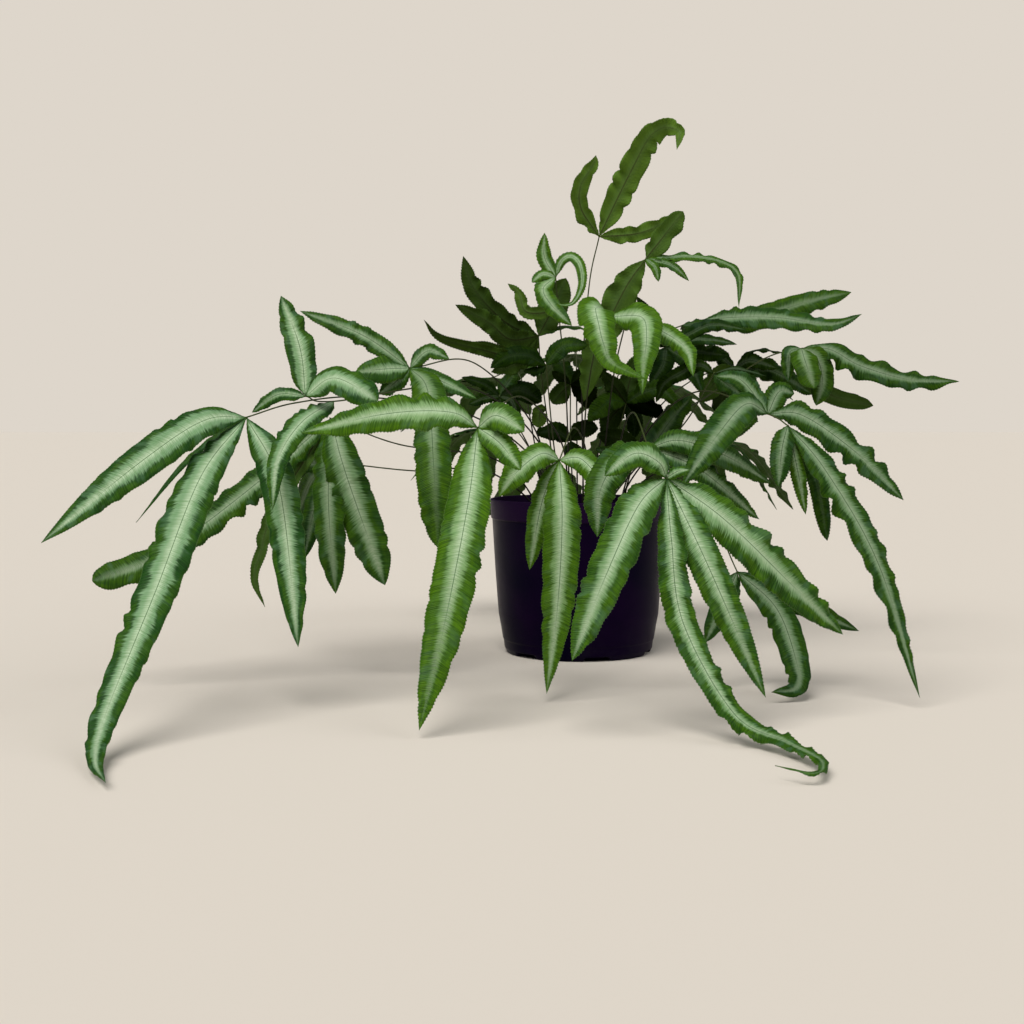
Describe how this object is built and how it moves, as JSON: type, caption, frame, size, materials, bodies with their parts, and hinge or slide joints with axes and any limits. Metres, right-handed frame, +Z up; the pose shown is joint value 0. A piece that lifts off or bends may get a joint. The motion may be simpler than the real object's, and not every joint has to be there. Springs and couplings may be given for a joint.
{
  "type": "potted silver ribbon fern",
  "caption": "Ribbon fern with narrow wavy leaflets, each with a pale band down its middle, arching from a tapered round nursery pot filled with soil.",
  "frame": {"origin": "centre of the pot's underside, on the surface the pot stands on", "axes": "+Z up along the pot's axis; -Y towards the side that the picture shows; +X to the picture's right"},
  "size_m": [0.583, 0.7156, 0.3824],
  "materials": {
    "pot": "near-black dark purple moulded plastic, satin, with faint scuffs",
    "soil": "dark brown moist potting soil, rough and crumbly",
    "frond": "green fern leaflets with a silvery white band down the middle, thin and slightly glossy"
  },
  "bodies": {
    "root": {"pot": "pot", "potting_soil": "soil", "frond_01": "frond", "frond_02": "frond", "frond_03": "frond", "frond_04": "frond", "frond_05": "frond", "frond_06": "frond", "frond_07": "frond", "frond_08": "frond", "frond_09": "frond", "frond_10": "frond", "frond_11": "frond", "frond_12": "frond", "frond_13": "frond", "frond_14": "frond", "frond_15": "frond", "frond_16": "frond", "frond_17": "frond", "frond_18": "frond", "frond_19": "frond", "frond_20": "frond", "frond_21": "frond", "frond_22": "frond", "frond_23": "frond", "frond_24": "frond", "frond_25": "frond", "frond_26": "frond", "frond_27": "frond", "frond_28": "frond", "frond_29": "frond", "frond_30": "frond", "frond_31": "frond", "frond_32": "frond"}
  },
  "joints": []
}
